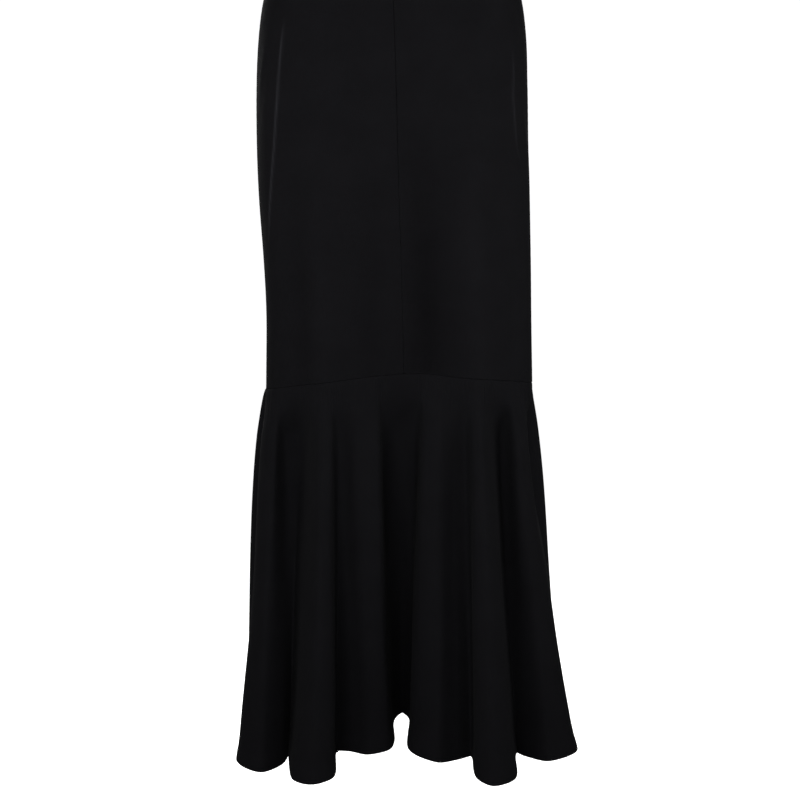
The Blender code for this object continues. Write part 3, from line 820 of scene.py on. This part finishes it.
def patterned(name, group, values):
    # a Principled finish whose colour, roughness and bump follow a pattern group
    material = bpy.data.materials.new(name)
    material.use_nodes = True
    tree = material.node_tree
    shader = tree.nodes["Principled BSDF"]
    pattern = addNode(tree, "ShaderNodeGroup")
    pattern.node_tree = group
    for label, value in values["pattern"].items():
        pattern.inputs[label].default_value = value
    pattern.inputs["Shade Low"].default_value = 1.0 - values["shadeSpread"]
    pattern.inputs["Shade High"].default_value = 1.0 + values["shadeSpread"]
    colour = addNode(tree, "ShaderNodeVectorMath", operation="SCALE", _0=values["colour"])
    bump = addNode(tree, "ShaderNodeBump", Strength=values["bump"], Distance=values["bumpDepth"])
    rough = addNode(tree, "ShaderNodeMapRange", From_Max=1.5,
                       To_Min=values["roughness"] - 0.07, To_Max=values["roughness"] + 0.07)
    # the painted highlight and painted shade kept on the cloth's points lighten or darken the colour
    paintedLight = addNode(tree, "ShaderNodeAttribute")
    paintedLight.attribute_name = "paintedLight"
    lighter = addNode(tree, "ShaderNodeMath", operation="MULTIPLY_ADD", _2=1.0)
    lighter.inputs[1].default_value = values.get("paintedLightGain", 0.0)
    shade = addNode(tree, "ShaderNodeMath", operation="MULTIPLY")
    linkAll(tree, (
        (paintedLight.outputs["Fac"], lighter.inputs[0]), (lighter.outputs[0], shade.inputs[0]),
        (pattern.outputs["Shade"], shade.inputs[1]), (shade.outputs[0], colour.inputs["Scale"]),
        (colour.outputs[0], shader.inputs["Base Color"]), (pattern.outputs["Height"], bump.inputs["Height"]),
        (bump.outputs["Normal"], shader.inputs["Normal"]), (pattern.outputs["Height"], rough.inputs["Value"]),
        (rough.outputs["Result"], shader.inputs["Roughness"]),
    ))
    for label in ("Specular IOR Level", "Sheen Weight", "Sheen Roughness", "Metallic"):
        shader.inputs[label].default_value = values.get(label, 0.0)
    return material


crepe = patterned("blackCrepe", clothGrain, {
    "colour": (0.0056, 0.0055, 0.0064), "pattern": {"Scale": 1500.0}, "shadeSpread": 0.16,
    # how strongly the painted highlight and painted shade change the crepe's colour
    "bump": 0.35, "bumpDepth": 0.0004, "roughness": 0.90, "paintedLightGain": 2.0,
    "Specular IOR Level": 0.04, "Sheen Weight": 0.006, "Sheen Roughness": 0.5,
})
thread = patterned("polyesterThread", clothGrain, {
    "colour": (0.0085, 0.0085, 0.0095), "pattern": {"Scale": 5200.0}, "shadeSpread": 0.30,
    "bump": 0.5, "bumpDepth": 0.0001, "roughness": 0.55, "Specular IOR Level": 0.25,
})
tapeWeave = patterned("wovenTape", tapeRibs, {
    "colour": (0.0100, 0.0100, 0.0108), "pattern": {"Rib Scale": 900.0, "Slant Scale": 650.0},
    "shadeSpread": 0.35, "bump": 0.6, "bumpDepth": 0.0002, "roughness": 0.72,
    "Specular IOR Level": 0.15, "Sheen Weight": 0.01,
})
coilNylon = patterned("coilNylon", clothGrain, {
    "colour": (0.0120, 0.0120, 0.0125), "pattern": {"Scale": 2500.0}, "shadeSpread": 0.12,
    "bump": 0.1, "bumpDepth": 0.0001, "roughness": 0.38, "Specular IOR Level": 0.4,
})
enamel = patterned("satinEnamel", clothGrain, {
    "colour": (0.0180, 0.0180, 0.0195), "pattern": {"Scale": 900.0}, "shadeSpread": 0.18,
    "bump": 0.08, "bumpDepth": 0.0001, "roughness": 0.34, "Specular IOR Level": 0.5,
})
print("finishes made")


def keep(piece, bodyName, slot, *finishes):
    for finish in finishes:
        piece.data.materials.append(finish)
    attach(piece, bodyName)
    return piece


for node, piece in clothPieces.items():
    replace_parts(keep(piece, "skirt", "crepe", crepe), node)
    width, length, area = cutSizes[node]

overlock = {"Pitch": 0.0016, "Width": 0.0032, "Thread Radius": 0.00017, "Seed": 4}
hemCatch = {"Pitch": 0.0045, "Width": 0.0050, "Thread Radius": 0.00016, "Seed": 9}
# longer than its pitch, so that a seam's thread is unbroken and no light comes through the seam
seamStitch = {"Pitch": 0.0025, "Length": 0.0028, "Thread Radius": 0.00045, "Seed": 2}
zipStitch = {"Pitch": 0.0025, "Length": 0.0021, "Thread Radius": 0.00016, "Seed": 2}
threadLift = 0.00016         # how far a thread's middle stands off the cloth


def edgeGuides(edges, inset):
    lines, sideways = [], []
    for edge in edges:
        deep = edge["deep"]
        line = edge["line"] + edge["back"] * inset + edge["face"] * threadLift
        lines.append(line[deep])
        sideways.append(edge["back"][deep])
    return lines, sideways


zigzag, stitchRow, coilLoops = zigzagTree(), stitchTree(), coilTree()
lines, sideways = edgeGuides(overlockedEdges + hemEdges, 0.0002)
keep(alongGuides("overlockThread", zigzag, lines, sideways, overlock, thread), "skirt", "crepe")
lines, sideways = edgeGuides(hemEdges, 0.0045)
keep(alongGuides("hemThread", zigzag, lines, sideways, hemCatch, thread), "skirt", "crepe")
level = [np.zeros_like(line) for line in seamLines]
keep(alongGuides("seamThread", stitchRow, seamLines, level, seamStitch, crepe), "skirt", "crepe")
print("threads sewn")

zipSizes = {
    "length": 0.2125,        # of the tape, from just under the waist
    "top": 0.003,
    "tapeHalf": 0.011,
    "tapeWall": 0.0005,
    "inward": 0.0037,        # from the cloth's face to the tape's, past the band's facing
    "coilPitch": 0.0011,
    "coilRadius": 0.0017,
    "coilWire": 0.00032,
    "coilStand": 0.0009,     # from the tape's face to the coil's middle
    "stitchFrom": 0.0075,    # from the centre back to the row that holds the tape
}


def zipLine(heights, across):
    # points of the centre back's cloth, at true distances to either side of its seam
    turns = 180.0 + np.linspace(-8.0, 8.0, 65)
    wide = bodyGrid(heights[:, None], turns[None, :])
    outs = gridNormals(wide)
    grid, outward = [], []
    for row, out in zip(wide, outs):
        far = arcLength(row)
        far = far - far[len(far) // 2]
        for taken, given in ((grid, row), (outward, out)):
            taken.append(np.stack([np.interp(across, far, values) for values in given.T], -1))
    return np.array(grid), np.array(outward)


def zipInside():
    heights = -zipSizes["top"] - evenly(zipSizes["length"], 0.003)
    grids = []
    for side in (-1.0, 1.0):
        across = np.sort(side * np.linspace(0.0004, zipSizes["tapeHalf"], 7))
        grid, outward = zipLine(heights, across)
        grids.append(grid - outward * zipSizes["inward"])
    tape = keep(clothMesh("zipTape", grids, zipSizes["tapeWall"]), "skirt", "zip_tape", tapeWeave)
    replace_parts(tape, "zip_tape")
    places = np.array([-zipSizes["stitchFrom"], -0.001, 0.0, 0.001, zipSizes["stitchFrom"]])
    grid, outward = zipLine(heights[2:], places)
    inner = zipSizes["inward"] + zipSizes["tapeWall"]
    rows = [grid[:, i] - outward[:, i] * (inner + threadLift) for i in (0, 4)]
    stitches = alongGuides("zipThread", stitchRow, rows, [row * 0 for row in rows], zipStitch, thread)
    keep(stitches, "skirt", "crepe")
    line = grid[:, 2] - outward[:, 2] * (inner + zipSizes["coilStand"])
    values = {"Pitch": zipSizes["coilPitch"], "Loop Radius": zipSizes["coilRadius"],
              "Wire Radius": zipSizes["coilWire"]}
    keep(alongGuides("zipCoil", coilLoops, [line], [line * 0], values, coilNylon), "skirt", "zip_tape")


zipInside()

sliderFinish = {"bevel": 0.00022, "segments": 3}
pullShape = {
    "eyeRadius": 0.0013,
    "eyeBore": 0.0007,
    "eyeEdge": 0.00018,      # cut off the eye's corners
    "width": 0.0038,
    "length": 0.0170,
    "neck": 0.62,            # of the width, just under the eye
    "wall": 0.0011,
    "squareness": 0.55,      # of the tab's section: 1 is an ellipse, 0 a rectangle
    "rim": 0.00022,          # raised edge round the hollowed face
}


def softenedCopy(node, name):
    source = frame["nodes"][node]
    mesh = source.data.copy()
    mesh.materials.clear()
    work = bmesh.new()
    work.from_mesh(mesh)
    bmesh.ops.remove_doubles(work, verts=work.verts, dist=1e-6)
    bmesh.ops.dissolve_limit(work, angle_limit=math.radians(2.0), verts=work.verts, edges=work.edges)
    work.to_mesh(mesh)
    work.free()
    piece = inScene(name, mesh)
    bevel = piece.modifiers.new("softEdges", "BEVEL")
    bevel.width = sliderFinish["bevel"]
    bevel.segments = sliderFinish["segments"]
    bevel.limit_method = "ANGLE"
    bevel.angle_limit = math.radians(40.0)
    mesh.shade_smooth()
    return piece


def joinRings(work, upper, lower):
    for low in range(len(upper)):
        high = (low + 1) % len(upper)
        work.faces.new((upper[low], lower[low], lower[high], upper[high]))


def pullTab():
    # an eye round the pin, a narrow neck and a drop-shaped tab with a raised rim
    work = bmesh.new()
    joint = frame["joints"][0]
    half, sides = pullShape["width"] / 2, 28
    outer, bore = pullShape["eyeRadius"], pullShape["eyeBore"]
    edge = pullShape["eyeEdge"]
    profile = [(-half + edge, bore), (-half, bore + edge), (-half, outer - edge), (-half + edge, outer)]
    profile += [(-x, radius) for x, radius in profile[::-1]]
    rings = []
    for angle in np.linspace(0.0, 2 * math.pi, sides, endpoint=False):
        rings.append([work.verts.new((x, r * math.cos(angle), r * math.sin(angle))) for x, r in profile])
    for index, ring in enumerate(rings):
        joinRings(work, ring, rings[(index + 1) % sides])
    sections, around = [], 32
    top, bottom = -outer * 0.80, -pullShape["length"]
    for share in np.linspace(0.0, 1.0, 25):
        z = top + (bottom - top) * share
        swell = pullShape["neck"] + (1.0 - pullShape["neck"]) * float(softStep((share - 0.10) / 0.55))
        nose = math.sqrt(max(1.0 - max((share - 0.90) / 0.10, 0.0) ** 2, 0.02))
        width = half * swell * nose
        ring = []
        for angle in np.linspace(0.0, 2 * math.pi, around, endpoint=False):
            x = signedPower(math.cos(angle), pullShape["squareness"])
            y = signedPower(math.sin(angle), pullShape["squareness"])
            hollow = pullShape["rim"] * float(softStep((0.78 - abs(x)) / 0.14))
            hollow *= float(softStep((share - 0.30) / 0.06) * softStep((0.93 - share) / 0.05))
            halfWall = (pullShape["wall"] / 2 - hollow) * min(nose + 0.25, 1.0)
            ring.append(work.verts.new((x * width, y * halfWall, z)))
        sections.append(ring)
    for upper, lower in zip(sections, sections[1:]):
        joinRings(work, upper, lower)
    work.faces.new(sections[0][::-1])
    work.faces.new(sections[-1])
    bmesh.ops.recalc_face_normals(work, faces=work.faces)
    ends = bodyPoint(np.array([0.0, -body["bandDepth"]]), 180.0)
    slope = math.atan2(ends[1][1] - ends[0][1], ends[0][2] - ends[1][2])
    stand = mathutils.Matrix.Translation(joint["pos_m"]) @ mathutils.Matrix.Rotation(slope, 4, "X")
    bmesh.ops.transform(work, matrix=stand, verts=work.verts)
    mesh = bpy.data.meshes.new("zipPullTab")
    work.to_mesh(mesh)
    work.free()
    mesh.shade_smooth()
    mesh.set_sharp_from_angle(angle=math.radians(50.0))
    return inScene("zipPullTab", mesh)


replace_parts(keep(softenedCopy("zip_slider", "zipSliderBody"), "skirt", "zip_metal", enamel), "zip_slider")
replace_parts(keep(pullTab(), "pull_tab", "zip_metal", enamel), "zip_pull")
print("zip fitted")


shownView = {
    "place": (0.0016, -2.6, 0.0),  # in front of the skirt, at waist height
    "lens": 96.1,
    "down": 12.25,           # degrees below level, toward the knee seam
    "roll": -1.35,
}


def shownCamera():
    camera = inScene("camera", bpy.data.cameras.new("camera"))
    camera.data.sensor_width = 36.0
    camera.data.lens = shownView["lens"]
    camera.location = shownView["place"]
    camera.rotation_mode = "QUATERNION"
    pitch = mathutils.Quaternion((1.0, 0.0, 0.0), math.radians(90.0 - shownView["down"]))
    roll = mathutils.Quaternion((0.0, 0.0, 1.0), math.radians(shownView["roll"]))
    camera.rotation_quaternion = pitch @ roll
    bpy.context.scene.camera = camera


studio = {
    "floor": -1.45,
    "wallBack": 6.0,
    "sweepRadius": 1.2,
    "halfWidth": 7.0,
    "front": -6.0,
    "height": 6.0,
    "paint": (0.92, 0.92, 0.92),
    "glow": 1.00,            # the sweep's own light, so that it stays white
    "skyStrength": 0.02,     # from above
    "groundStrength": 0.04,  # from below
}
softBoxes = [
    # name, place, height aimed at, size, power
    ("frontLeft", (-0.34, -1.22, -0.15), -0.18, (0.8, 0.9), 10.0),
    ("frontRight", (0.34, -1.22, -0.15), -0.18, (0.8, 0.9), 4.0),
    ("highRight", (0.50, -1.40, 1.00), -0.30, (1.0, 1.2), 1.5),
    ("left", (-1.20, -0.34, -0.15), -0.18, (0.8, 0.9), 5.0),
    ("right", (1.20, -0.30, -0.15), -0.18, (0.8, 0.9), 8.2),
    ("backLeft", (-0.75, 1.80, 0.40), -0.35, (1.0, 1.2), 28.0),
    ("back", (0.35, 1.90, 0.40), -0.35, (1.0, 1.2), 24.0),
]


def studioSweep():
    # a pale floor that curves up into a backdrop
    profile = [(studio["front"], studio["floor"])]
    radius = studio["sweepRadius"]
    for angle in np.radians(np.linspace(-90.0, 0.0, 25)):
        profile.append((studio["wallBack"] - radius + radius * math.cos(angle),
                        studio["floor"] + radius + radius * math.sin(angle)))
    profile.append((studio["wallBack"], studio["height"]))
    points, faces = [], []
    for y, z in profile:
        points += [(-studio["halfWidth"], y, z), (studio["halfWidth"], y, z)]
    for index in range(len(profile) - 1):
        corner = 2 * index
        faces.append((corner, corner + 1, corner + 3, corner + 2))
    mesh = bpy.data.meshes.new("studioSweep")
    mesh.from_pydata(points, [], faces)
    mesh.shade_smooth()
    sweep = inScene("studioSweep", mesh)
    sweep.visible_diffuse = sweep.visible_glossy = False
    paint = bpy.data.materials.new("palePaint")
    paint.use_nodes = True
    inputs = paint.node_tree.nodes["Principled BSDF"].inputs
    for label, value in (("Base Color", (*studio["paint"], 1.0)), ("Roughness", 0.9),
                         ("Emission Color", (1.0, 1.0, 1.0, 1.0)), ("Emission Strength", studio["glow"])):
        inputs[label].default_value = value
    sweep.data.materials.append(paint)


def studioLight():
    world = bpy.data.worlds.new("studio")
    world.use_nodes = True
    tree = world.node_tree
    sky = tree.nodes["Background"]
    place = addNode(tree, "ShaderNodeTexCoord")
    split = addNode(tree, "ShaderNodeSeparateXYZ")
    fromAbove = addNode(tree, "ShaderNodeMapRange", From_Min=-0.35, From_Max=0.45,
                           To_Min=studio["groundStrength"], To_Max=studio["skyStrength"])
    # to the camera the sky is as white as the sweep, whatever light it gives
    path = addNode(tree, "ShaderNodeLightPath")
    strength = addNode(tree, "ShaderNodeMath", operation="MAXIMUM")
    linkAll(tree, (
        (place.outputs["Generated"], split.inputs[0]), (split.outputs["Z"], fromAbove.inputs["Value"]),
        (fromAbove.outputs["Result"], strength.inputs[0]),
        (path.outputs["Is Camera Ray"], strength.inputs[1]), (strength.outputs[0], sky.inputs["Strength"]),
    ))
    sky.inputs["Color"].default_value = (1.0, 1.0, 1.0, 1.0)
    bpy.context.scene.world = world
    for name, place, aim, size, power in softBoxes:
        lamp = bpy.data.lights.new(name, "AREA")
        lamp.shape = "RECTANGLE"
        lamp.size, lamp.size_y = size
        lamp.energy = power
        light = inScene(name, lamp)
        light.location = place
        light.visible_camera = False
        away = mathutils.Vector((0.0, 0.0, aim)) - mathutils.Vector(place)
        light.rotation_mode = "QUATERNION"
        light.rotation_quaternion = away.to_track_quat("-Z", "Y")
    bpy.context.scene.view_settings.view_transform = "Standard"


shownCamera()
studioSweep()
studioLight()
print("studio set")
